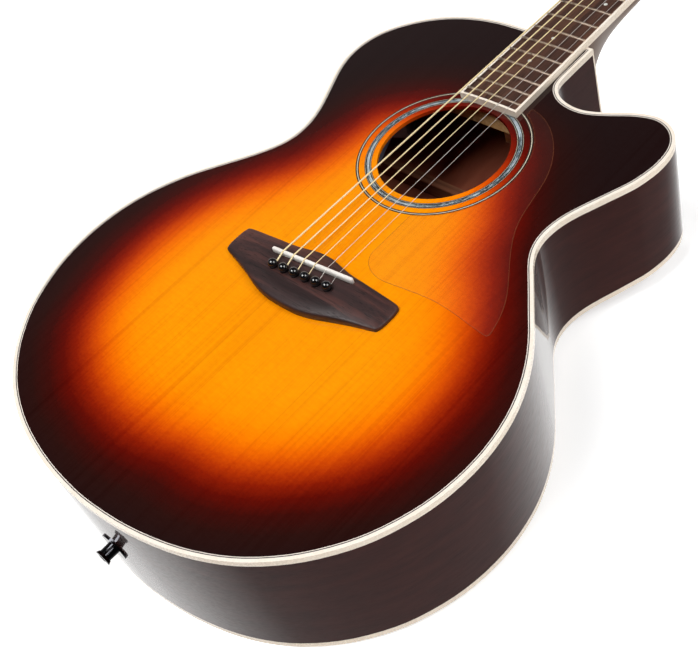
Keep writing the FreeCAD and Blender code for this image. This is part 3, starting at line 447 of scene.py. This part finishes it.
def mat_rosette_lines():
    """Thin black, white and black rings, told apart by their radius."""
    k = Mat("rosette_lines")
    r, _ = radius_from(k, *HOLE)
    w, d = srgb(214, 205, 184), srgb(24, 18, 16)
    f = k.rng(r, 56.0, 70.0)

    def at(v):
        return (v - 56.0) / 14.0
    c = k.ramp(f, [(0.0, d), (at(56.85), w), (at(57.1), d), (at(61.2), w), (at(61.45), d), (at(67.3), w), (at(67.95), d)], "CONSTANT")
    g = k.noise(k.mapping(scale=(800, 800, 800)), 1.0, 2.0, 0.5)
    c = k.mix(k.rng(g, 0.3, 0.7, 0.0, 0.18), c, srgb(120, 100, 80))
    k.set(color=c, rough=k.rng(g, 0.3, 0.7, 0.25, 0.38), spec=0.3, coat=1.0, coat_rough=0.03, coat_ior=1.45)
    return k.m


def mat_abalone():
    """Shell laid in short pieces round the ring, each with its own cast and fine wavy layers."""
    k = Mat("abalone")
    r, s = radius_from(k, *HOLE)
    ang = k.math("ARCTAN2", s[1], s[0])
    seg = k.math("MULTIPLY", ang, 26 / (2 * math.pi))
    cell = k.math("FLOOR", seg)
    w = k.n("ShaderNodeTexWhiteNoise", noise_dimensions="1D")
    k.put(w.inputs["W"], cell)
    comb = k.n("ShaderNodeCombineXYZ")
    k.put(comb.inputs[0], k.math("MULTIPLY", ang, 7.0))
    k.put(comb.inputs[1], k.math("MULTIPLY", r, 0.55))
    k.put(comb.inputs[2], k.math("MULTIPLY", w.outputs["Value"], 20.0))
    n1 = k.noise(comb.outputs[0], 1.0, 4.0, 0.62, 1.6)
    n2 = k.noise(comb.outputs[0], 1.3, 2.0, 0.5, 1.2)
    c = k.ramp(n1, [(0.30, srgb(34, 42, 46)), (0.42, srgb(66, 80, 88)), (0.50, srgb(112, 130, 138)), (0.56, srgb(206, 216, 220)),
                    (0.60, srgb(92, 114, 126)), (0.68, srgb(132, 134, 142)), (0.78, srgb(46, 56, 62))])
    c = k.mix(k.rng(n2, 0.47, 0.56, 0.0, 0.85, True), c, srgb(38, 43, 46))
    c = k.mix(k.rng(w.outputs["Value"], 0.0, 1.0, 0.0, 0.10), c, srgb(206, 214, 216))
    slow = k.n("ShaderNodeCombineXYZ")
    k.put(slow.inputs[0], k.math("MULTIPLY", ang, 2.6))
    k.put(slow.inputs[1], k.math("MULTIPLY", r, 0.25))
    n3 = k.noise(slow.outputs[0], 1.0, 2.0, 0.5)
    c = k.mix(k.rng(n3, 0.48, 0.60, 0.0, 0.50, True), c, srgb(206, 218, 224))
    c = k.mix(k.rng(n3, 0.44, 0.34, 0.0, 0.50, True), c, srgb(48, 54, 56))
    c = k.mix(k.rng(k.math("ABSOLUTE", k.math("SUBTRACT", r, 59.15)), 1.12, 1.22, 0.0, 0.92), c, srgb(20, 18, 18))
    joint = k.math("ABSOLUTE", k.math("SUBTRACT", k.math("FRACT", seg), 0.5))
    c = k.mix(k.rng(joint, 0.485, 0.495, 0.0, 0.7), c, srgb(40, 42, 44))
    k.set(color=c, rough=k.rng(n2, 0.3, 0.7, 0.16, 0.34), spec=0.6, coat=1.0, coat_rough=0.03, coat_ior=1.5)
    return k.m


def mat_dots():
    k = Mat("shell_dots")
    n1 = k.noise(k.mapping(scale=(420, 420, 420)), 1.0, 3.0, 0.6, 1.2)
    c = k.ramp(n1, [(0.3, srgb(176, 184, 182)), (0.5, srgb(226, 226, 216)), (0.7, srgb(200, 206, 210))])
    k.set(color=c, rough=k.rng(n1, 0.3, 0.7, 0.2, 0.35), spec=0.6, coat=0.6, coat_rough=0.05)
    return k.m


def mat_rosewood(name, along, base=(62, 40, 36), dark=(30, 19, 18), light=(98, 64, 50), rough=(0.42, 0.56), coat=0.0):
    """Open-pored dark wood; along is the axis that the grain follows."""
    k = Mat(name)
    lo, hi = 14.0, 330.0
    sc = (lo, hi, hi) if along == "X" else (hi, lo, hi)
    a = k.noise(k.mapping(scale=sc), 0.45, 3.0, 0.6, 0.6)
    b = k.noise(k.mapping(scale=sc, loc=(3, 5, 1)), 0.14, 2.0, 0.5, 0.8)
    c = k.ramp(k.math("ADD", k.math("MULTIPLY", a, 0.5), k.math("MULTIPLY", b, 0.5)),
               [(0.34, srgb(*dark)), (0.48, srgb(*base)), (0.60, srgb(*light)), (0.70, srgb(*base))])
    ps = (70, 1500, 1500) if along == "X" else (1500, 70, 1500)
    pore = k.noise(k.mapping(scale=ps), 1.0, 1.0, 0.5)
    c = k.mix(k.rng(pore, 0.60, 0.70, 0.0, 0.75, True), c, srgb(14, 9, 9))
    k.set(color=c, rough=k.rng(pore, 0.4, 0.7, rough[0], rough[1]), spec=0.4, coat=coat, coat_rough=0.15,
          normal=k.bump(k.rng(pore, 0.55, 0.72, 1.0, 0.0), 0.35, 0.0002))
    return k.m


def mat_raw(name, cols, along="Y"):
    k = Mat(name)
    sc = dict(X=(6, 260, 260), Y=(260, 6, 260), Z=(260, 260, 6))[along]
    a = k.noise(k.mapping(scale=sc), 1.0, 3.0, 0.55, 0.2)
    c = k.ramp(a, [(0.3, srgb(*cols[0])), (0.5, srgb(*cols[1])), (0.7, srgb(*cols[2]))])
    k.set(color=c, rough=k.rng(a, 0.3, 0.7, 0.75, 0.6), spec=0.25, normal=k.bump(a, 0.25, 0.0003))
    return k.m


def mat_bone():
    k = Mat("bone")
    a = k.noise(k.mapping(scale=(40, 200, 200)), 1.0, 3.0, 0.6)
    c = k.ramp(a, [(0.3, srgb(232, 226, 218)), (0.55, srgb(246, 242, 236)), (0.75, srgb(238, 232, 222))])
    k.set(color=c, rough=k.rng(a, 0.3, 0.7, 0.28, 0.40), spec=0.5)
    return k.m


def mat_plastic(name, col, col2, rough, scale=900, bump=0.05, spec=0.5, coat=0.0):
    k = Mat(name)
    a = k.noise(k.mapping(scale=(scale,) * 3), 1.0, 3.0, 0.6)
    k.set(color=k.mix(a, srgb(*col), srgb(*col2)), rough=k.rng(a, 0.3, 0.7, rough[0], rough[1]), spec=spec, coat=coat, coat_rough=0.03,
          normal=k.bump(a, bump, 0.0002))
    return k.m


def mat_metal(name, col, col2, rough, scale=600, bump=0.02):
    k = Mat(name)
    a = k.noise(k.mapping(scale=(scale,) * 3), 1.0, 3.0, 0.6)
    b = k.noise(k.mapping(scale=(scale * 0.08,) * 3), 1.0, 2.0, 0.6)
    k.set(color=k.mix(b, srgb(*col), srgb(*col2)), metallic=1.0, rough=k.rng(a, 0.3, 0.7, rough[0], rough[1]), normal=k.bump(a, bump, 0.0001))
    return k.m


def mat_string(name, col, col2, wound):
    """Metal string; the wound ones have a fine wrap along their length, bumped, with painted shade darkening the colour
    in the grooves between the turns.
    """
    k = Mat(name)
    w = k.wave(k.mapping(scale=(1, 1, 0.2)), 1000.0 / (2 * math.pi) / 0.42 * 0.5, 0.0, 0.0, 1.0, "Y")
    b = k.noise(k.mapping(scale=(50, 50, 50)), 1.0, 2.0, 0.6)
    c = k.mix(b, srgb(*col), srgb(*col2))
    if wound:
        # painted shade: the colour darkens up to 22% towards a deeper bronze in bands along the wrap, shade painted
        # into the grooves
        c = k.mix(k.rng(w, 0.0, 1.0, 0.0, 0.22), c, srgb(196, 150, 90))
        k.set(normal=k.bump(w, 0.4, 0.0001))
    k.set(color=c, metallic=0.1 if wound else 0.5, rough=k.rng(b, 0.3, 0.7, 0.28, 0.36))
    return k.m


def mat_clear():
    """A thin clear film, stuck flat on the lacquer; its faint pale reddish tint is a painted reflection that lightens
    the board under it.
    """
    k = Mat("clear_film")
    a = k.noise(k.mapping(scale=(60, 60, 60)), 1.0, 3.0, 0.6)
    # painted reflection: a pale reddish colour at very low alpha lifts the dark board a little, standing in for the
    # film's gloss
    k.set(color=k.ramp(a, [(0.3, srgb(176, 108, 100)), (0.7, srgb(192, 120, 110))]), rough=k.rng(a, 0.3, 0.7, 0.05, 0.09), spec=0.25, alpha=0.016)
    return k.m


def mat_film_edge():
    k = Mat("film_edge")
    a = k.noise(k.mapping(scale=(90, 90, 90)), 1.0, 3.0, 0.6)
    k.set(color=k.ramp(a, [(0.3, srgb(150, 84, 54)), (0.7, srgb(168, 98, 64))]), rough=k.rng(a, 0.3, 0.7, 0.2, 0.3), spec=0.4, alpha=0.40)
    return k.m


M = dict(
    sunburst=mat_sunburst(), brown=mat_brown_gloss(), neck=mat_neck(), cream=mat_binding(),
    dark_line=mat_line("dark_line", srgb(14, 9, 9), srgb(24, 16, 15)), pale_line=mat_line("pale_line", srgb(240, 230, 220), srgb(226, 214, 202)),
    rlines=mat_rosette_lines(), abalone=mat_abalone(), dots=mat_dots(),
    bridge=mat_rosewood("bridge_wood", "X", (56, 37, 36), (36, 24, 24), (88, 52, 46)), board=mat_rosewood("fretboard_wood", "Y", (66, 42, 34), (36, 22, 19), (92, 60, 46)),
    spruce=mat_raw("bare_spruce", ((176, 126, 78), (206, 160, 106), (222, 180, 126))),
    mahogany=mat_raw("bare_mahogany", ((96, 58, 42), (126, 78, 56), (146, 94, 68)), "X"),
    bone=mat_bone(), black=mat_plastic("gloss_black", (10, 10, 11), (20, 20, 22), (0.10, 0.16), 500, 0.01, 0.5, 1.0),
    matte=mat_plastic("matte_black", (22, 22, 24), (36, 36, 38), (0.42, 0.58), 2400, 0.15),
    bronze=mat_string("wound_bronze", (255, 242, 196), (255, 230, 172), True), plain=mat_string("plain_steel", (236, 230, 222), (216, 210, 204), False),
    nickel=mat_metal("nickel", (222, 216, 204), (200, 194, 184), (0.14, 0.24)), chrome=mat_metal("chrome", (216, 216, 220), (198, 198, 204), (0.05, 0.10)),
    dark_chrome=mat_metal("dark_chrome", (96, 96, 100), (72, 72, 76), (0.07, 0.14)), steel=mat_metal("steel", (150, 150, 152), (126, 126, 130), (0.28, 0.40)),
    can=mat_plastic("battery_can", (36, 36, 40), (52, 52, 56), (0.3, 0.4), 300, 0.02), clear=mat_clear(), film_edge=mat_film_edge(),
    brown_side=mat_brown_gloss("side"), brown_back=mat_brown_gloss("back"),
    block=mat_raw("block_wood", ((226, 158, 100), (238, 174, 116), (246, 188, 132)), "X"),
    slate=mat_plastic("slate_gloss", (112, 124, 144), (134, 146, 164), (0.10, 0.18), 300, 0.02, 0.5, 1.0),
    fret=mat_metal("fret_metal", (226, 204, 184), (206, 184, 164), (0.30, 0.42), 500, 0.02),
)

BY_SLOT = dict(
    sunburst_top="sunburst", brown_gloss="brown", raw_spruce="spruce", raw_mahogany="mahogany", rosewood="board", cream_binding="cream",
    purfling="rlines", pearl="abalone", clear_guard="clear", bone_white="bone", black_gloss="black", black_matte="matte",
    bronze_string="bronze", steel_string="plain", nickel="nickel", chrome="chrome", dark_chrome="dark_chrome", steel="steel", battery_can="can",
)
BY_NODE = dict(neck="neck", bridge="bridge", position_dots="dots", sides="brown_side", back_plate="brown_back", preamp_case="slate", frets="fret", back_braces="mahogany", neck_block="block")
slot_of = {s["node"]: s["material_slot"] for s in frame["record"]["subparts"]}
for name, o in nodes.items():
    mt = M[BY_NODE.get(name, BY_SLOT[slot_of[name]])]
    o.data.materials.clear()
    o.data.materials.append(mt)

# ------------------------------------------------------------------ soundboard with its burst
# The border of the amber area, mm from the saddle line's middle.
AMBER = [(0, -166), (29.5, -161), (61, -155.7), (92.6, -142.6), (123, -122), (147, -90), (157, -50), (151, -10.7), (131, 22),
         (112, 48), (96, 68), (88, 84), (82, 100), (74, 112), (66, 126), (56, 142), (48, 154), (30, 166), (0, 176), (-28, 176), (-46, 170),
         (-60, 160), (-72, 148), (-76, 132), (-80, 116), (-84, 100), (-91, 80), (-105, 58), (-124, 30), (-140, -8), (-145, -50),
         (-139, -87), (-124, -120), (-97, -146), (-66, -160), (-31, -166)]


def smooth_loop(pts, n=4):
    p = np.array(pts, float)
    for _ in range(n):
        q = np.roll(p, -1, axis=0)
        p = np.stack([0.75 * p + 0.25 * q, 0.25 * p + 0.75 * q], 1).reshape(-1, 2)
    return p


loops = [ccw(q) for q in flat_loops("soundboard", TOP)]
rim = loops[0]
holes = [q for q in loops[1:] if np.ptp(q[:, 0]) > 0.0008]
amber = smooth_loop(AMBER) * 0.001 + np.array([X0, Y0])


def burst_at(p):
    d = dist_to(p, amber) * 1000
    return np.where(inside(p, amber), -d, d)


rim_t = thin(rim, 0.0004)
hole_ts = [thin(q, 0.0003) for q in holes]
gx = np.arange(rim[:, 0].min(), rim[:, 0].max(), 0.004)
gy = np.arange(rim[:, 1].min(), rim[:, 1].max(), 0.004)
grid = np.array([(x + (0.002 if j % 2 else 0.0), y) for j, y in enumerate(gy) for x in gx])
ok = inside(grid, rim) & (dist_to(grid, rim_t) > 0.0018)
for q in hole_ts:
    ok &= ~inside(grid, q) & (dist_to(grid, q) > 0.0015)
grid = grid[ok]


def parity(c):
    n = inside(c, rim_t).astype(int)
    for q in hole_ts:
        n += inside(c, q)
    return n


def span(q):
    return float(np.ptp(q[:, 0]))


through = [q for q in hole_ts if span(q) < 0.006 or 0.1035 < span(q) < 0.1045]     # pin holes and the soundhole


def keep_board(c):
    k = inside(c, rim_t)
    for q in through:
        k &= ~inside(c, q)
    return k


v2, f2 = fill([rim_t] + hole_ts, grid, keep_board)
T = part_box("soundboard")[0].z
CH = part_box("rosette_pearl")[0].z                          # bottom of the rosette's channels
is_top = parity(v2[f2].mean(axis=1)) % 2 == 1


def shell(v, f, up_mask, z_up, z_low, z_floor):
    """A closed plate: faces of up_mask at z_up, the others at z_low, everything again at z_floor, and the walls between."""
    index, verts = {}, []

    def vid(i, z):
        if (i, z) not in index:
            index[(i, z)] = len(verts)
            verts.append((v[i][0], v[i][1], z))
        return index[(i, z)]
    faces, kind, owner = [], [], {}
    for t, top in zip(f, up_mask):
        z = z_up if top else z_low
        faces.append(tuple(vid(int(i), z) for i in t))
        kind.append(0)
        for a, b in ((t[0], t[1]), (t[1], t[2]), (t[2], t[0])):
            owner[(int(a), int(b))] = z
    for t in f:
        faces.append(tuple(vid(int(i), z_floor) for i in t[::-1]))
        kind.append(1)
    for (a, b), z in owner.items():
        other = owner.get((b, a))
        low = z_floor if other is None else other
        if other is None or other < z:
            faces.append((vid(b, z), vid(a, z), vid(a, low), vid(b, low)))
            kind.append(2)
    return verts, faces, kind


verts, faces, kind = shell(v2, f2, is_top, TOP, CH, T)
burst = burst_at(np.array(verts)[:, :2])
soundboard = make("soundboard_top", verts, faces, [M["sunburst"], M["spruce"]],
                  mat_index=[1 if q == 1 else 0 for q in kind], smooth=False, attrs=dict(burst=burst))
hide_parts("soundboard")

# ------------------------------------------------------------------ purfling lines between the top and the binding
bind_loops = [ccw(q) for q in flat_loops("top_binding", TOP)]
bind_out, bind_in = bind_loops[0], bind_loops[1]
edge_gap = float(np.median(dist_to(bind_in, rim)))          # width of the purfling
lines_at = [0.40, 0.80]
rings = [rim_t, thin(bind_in, 0.0004)] + [offset(rim_t, edge_gap * k) for k in lines_at]


def keep_ring(c):
    return inside(c, rings[1]) & ~inside(c, rim_t)


v3, f3 = fill(rings, [], keep_ring)
dd = dist_to(v3[f3].mean(axis=1), rim_t) / edge_gap
idx = np.where(dd < lines_at[0], 0, np.where(dd < lines_at[1], 1, 0))
vv, ff, kind = shell(v3, f3, [True] * len(f3), TOP, TOP, T)
purfling = make("top_purfling_lines", vv, ff, [M["pale_line"], M["dark_line"]],
                mat_index=list(idx) + list(idx) + [1] * (len(ff) - 2 * len(f3)), smooth=False)
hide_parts("top_purfling")

# ------------------------------------------------------------------ bridge with one continuous crown
def relief(loops_, extra, keep, height, floor_z):
    """A closed solid: the filled outline lifted to height(x, y), flat below, with walls at every border."""
    v, f = fill(loops_, extra, keep)
    used = np.unique(f)
    new = {int(i): n for n, i in enumerate(used)}
    f = np.array([[new[int(i)] for i in t] for t in f])
    v = v[used]
    n = len(v)
    top = height(v)
    out = [(x, y, z) for (x, y), z in zip(v, top)] + [(x, y, floor_z) for x, y in v]
    faces, own = [tuple(int(i) for i in t) for t in f], set()
    for t in f:
        for p, q in ((t[0], t[1]), (t[1], t[2]), (t[2], t[0])):
            own.add((int(p), int(q)))
    faces += [tuple(int(i) + n for i in t[::-1]) for t in f]
    walls = [(q, p, p + n, q + n) for p, q in own if (q, p) not in own]
    return out, faces + walls, len(f)


b_loops = [ccw(q) for q in flat_loops("bridge", TOP)]
b_out = thin(b_loops[0], 0.0006)
pins_ = [thin(q, 0.0003) for q in b_loops[1:] if 0.003 < span(q) < 0.009]
s_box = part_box("saddle")
s_pts = welded("saddle")[0]
s_low = s_pts[np.abs(s_pts[:, 2] - s_box[0].z) < 1e-5][:, :2]
s_mid = (s_low.max(axis=0) + s_low.min(axis=0)) / 2
ax = np.linalg.svd(s_low - s_low.mean(axis=0))[2][0]
ax = ax if ax[0] > 0 else -ax
ay = np.array([-ax[1], ax[0]])
s_len, s_wid = np.abs((s_low - s_mid) @ ax).max(), np.abs((s_low - s_mid) @ ay).max()
s_zc = s_box[1].z - s_wid
cap = s_len - s_wid


def stadium(r, n=14):
    """Points of a bar with round ends, of half width r, about the saddle's middle."""
    pts = []
    for sgn in (1, -1):
        for i in range(n + 1):
            t = -math.pi / 2 + math.pi * i / n
            pts.append(s_mid + sgn * (ax * (cap + r * math.cos(t)) + ay * r * math.sin(t)))
    return np.array(pts)


slot_loop = ccw(stadium(s_wid + 0.00006))
b_rings = [offset(b_out, -d * 0.001) for d in (0.3, 0.7, 1.3, 2.2)]
WING = [(0, 8.6), (38, 8.6), (48, 7.9), (58, 6.7), (68, 5.5), (80, 4.5), (90, 4.3)]
b_top = (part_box("bridge")[1].z - TOP) * 1000


def bridge_height(v):
    x = np.abs(v[:, 0] - X0) * 1000
    d = dist_to(v, b_out) * 1000
    hx = np.minimum(np.interp(x, [q[0] for q in WING], [q[1] for q in WING]), b_top)
    dome = 0.66 + 0.34 * (1 - (1 - np.minimum(d / 12.0, 1)) ** 2)
    lip = 0.74 + 0.26 * np.sqrt(1 - (1 - np.minimum(d / 1.3, 1)) ** 2)
    return TOP + hx * dome * lip * 0.001


bx = np.arange(b_out[:, 0].min(), b_out[:, 0].max(), 0.0022)
by = np.arange(b_out[:, 1].min(), b_out[:, 1].max(), 0.0022)
b_grid = np.array([(x + (0.0011 if j % 2 else 0.0), y) for j, y in enumerate(by) for x in bx])
b_ok = inside(b_grid, b_out) & (dist_to(b_grid, b_out) > 0.0031) & ~inside(b_grid, slot_loop) & (dist_to(b_grid, slot_loop) > 0.0008)
for q in pins_:
    b_ok &= ~inside(b_grid, q) & (dist_to(b_grid, q) > 0.0008)


def keep_bridge(c):
    k = inside(c, b_out) & ~inside(c, slot_loop)
    for q in pins_:
        k &= ~inside(c, q)
    return k


bv, bf, _ = relief([b_out] + b_rings + [slot_loop] + pins_, b_grid[b_ok], keep_bridge, bridge_height, TOP)
bridge_piece = make("bridge_crowned", bv, bf, [M["bridge"]])
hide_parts("bridge")

# ------------------------------------------------------------------ saddle with round ends and crown
sv, sf = [], []
prof = [(s_wid, s_box[0].z), (s_wid, s_zc)] + [(s_wid * math.cos(math.radians(a_)), s_zc + s_wid * math.sin(math.radians(a_))) for a_ in (15, 30, 45, 60, 72, 82)]
cnt = 0
for r_, z_ in prof:
    ring_ = stadium(r_)
    cnt = len(ring_)
    sv += [(q[0], q[1], z_) for q in ring_]
for i in range(len(prof) - 1):
    for j in range(cnt):
        sf.append((i * cnt + j, i * cnt + (j + 1) % cnt, (i + 1) * cnt + (j + 1) % cnt, (i + 1) * cnt + j))
sf.append(tuple(range(cnt))[::-1])
sf.append(tuple((len(prof) - 1) * cnt + j for j in range(cnt)))
saddle_piece = make("saddle_rounded", sv, sf, [M["bone"]])
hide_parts("saddle")

# ------------------------------------------------------------------ clear pickguard film with a soft edge
p_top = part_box("pickguard")[1].z
p_out = thin(ccw(flat_loops("pickguard", p_top)[0]), 0.0005)
p_rings = [offset(p_out, -d * 0.001) for d in (0.12, 0.34)]


def film_height(v):
    d = dist_to(v, p_out) * 1000
    return TOP + 0.0003 + (p_top - TOP - 0.0003) * np.sqrt(1 - (1 - np.minimum(d / 0.34, 1)) ** 2)


pv, pf, p_n = relief([p_out] + p_rings, [], lambda c: inside(c, p_out), film_height, TOP + 0.00003)
p_mid = [np.mean([pv[i][:2] for i in f_], axis=0) for f_ in pf]
p_edge = dist_to(np.array(p_mid), p_out) < 0.0003
film = make("pickguard_film", pv, pf, [M["clear"], M["film_edge"]],
            mat_index=[1 if e and (i < p_n or i >= 2 * p_n) else 0 for i, e in enumerate(p_edge)])
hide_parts("pickguard")

# ------------------------------------------------------------------ floor, lights, world
fm = Mat("floor")
fn = fm.noise(fm.mapping(scale=(3, 3, 3)), 1.0, 2.0, 0.5)
fm.set(color=fm.mix(fn, (0.93, 0.93, 0.93), (0.96, 0.96, 0.96)), rough=0.95, spec=0.0, emission=0.5)
fm.b.inputs["Emission Color"].default_value = (1, 1, 1, 1)
fme = bpy.data.meshes.new("floor")
fme.from_pydata([(-8, -8, -0.0004), (8, -8, -0.0004), (8, 8, -0.0004), (-8, 8, -0.0004)], [], [(0, 1, 2, 3)])
fme.materials.append(fm.m)
floor = bpy.data.objects.new("floor", fme)
bpy.context.scene.collection.objects.link(floor)
floor.visible_glossy = False


def light(name, loc, aim, size, power, color=(1, 1, 1), glossy=True):
    d = bpy.data.lights.new(name, "AREA")
    d.shape = "RECTANGLE"
    d.size, d.size_y = size
    d.energy = power
    d.color = color
    o = bpy.data.objects.new(name, d)
    bpy.context.scene.collection.objects.link(o)
    o.location = loc
    o.rotation_mode = "QUATERNION"
    o.rotation_quaternion = (Vector(loc) - Vector(aim)).to_track_quat("Z", "Y")
    o.visible_glossy = glossy
    return o


light("key", (-0.3, -1.2, 2.2), (0, -0.2, 0), (1.4, 1.0), 43)
light("fill", (1.7, 0.4, 1.7), (0, 0, 0), (1.4, 1.4), 30)
light("rear", (-1.9, 1.0, 2.2), (0, 0, 0), (1.0, 1.0), 22, glossy=False)

world = bpy.data.worlds.new("world")
bpy.context.scene.world = world
world.use_nodes = True
wt = world.node_tree
bg = next(n for n in wt.nodes if n.type == "BACKGROUND")
tc = wt.nodes.new("ShaderNodeTexCoord")
dot = wt.nodes.new("ShaderNodeVectorMath")
dot.operation = "DOT_PRODUCT"
wt.links.new(tc.outputs["Generated"], dot.inputs[0])
dot.inputs[1].default_value = (-0.597, 0.347, -0.723)
wr = wt.nodes.new("ShaderNodeValToRGB")
wt.links.new(dot.outputs["Value"], wr.inputs["Fac"])
rise = wt.nodes.new("ShaderNodeMapRange")
for key, val in (("From Min", -1.0), ("From Max", 1.0), ("To Min", 0.0), ("To Max", 1.0)):
    rise.inputs[key].default_value = val
wt.links.new(dot.outputs["Value"], rise.inputs["Value"])
wt.links.new(rise.outputs["Result"], wr.inputs["Fac"])
cr = wr.color_ramp
cr.elements[0].position, cr.elements[0].color = 0.50, (0.014, 0.014, 0.015, 1)
cr.elements[1].position, cr.elements[1].color = 0.925, (1.08, 1.07, 1.06, 1)
for pos, val in ((0.58, 0.13), (0.72, 0.18)):
    e = cr.elements.new(pos)
    e.color = (val, val, val, 1)
wt.links.new(wr.outputs["Color"], bg.inputs["Color"])
bg.inputs["Strength"].default_value = 1.0

bpy.context.scene.view_settings.view_transform = "Standard"
bpy.context.scene.view_settings.look = "None"
